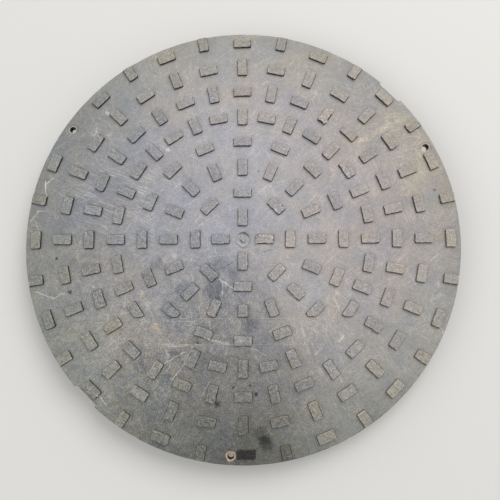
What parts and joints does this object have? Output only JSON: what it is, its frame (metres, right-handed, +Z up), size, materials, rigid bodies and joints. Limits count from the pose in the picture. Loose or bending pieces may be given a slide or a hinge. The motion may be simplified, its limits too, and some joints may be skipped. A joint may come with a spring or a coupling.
{
  "type": "inspection chamber cover",
  "caption": "Round screw-down plastic cover for a drain inspection chamber, with raised tread pads, countersunk screw holes, lifting notches and a ribbed underside.",
  "frame": {"origin": "on the cover's axis, at the foot of the skirt, which is the plane it rests on when it lies loose", "axes": "+Z up through the tread, +Y towards the top of the tread pattern and away from the label strip, +X to its right"},
  "size_m": [0.45, 0.45, 0.035],
  "materials": {
    "plastic": "weathered and scuffed black polypropylene"
  },
  "bodies": {
    "root": {"cover": "plastic"}
  },
  "joints": []
}
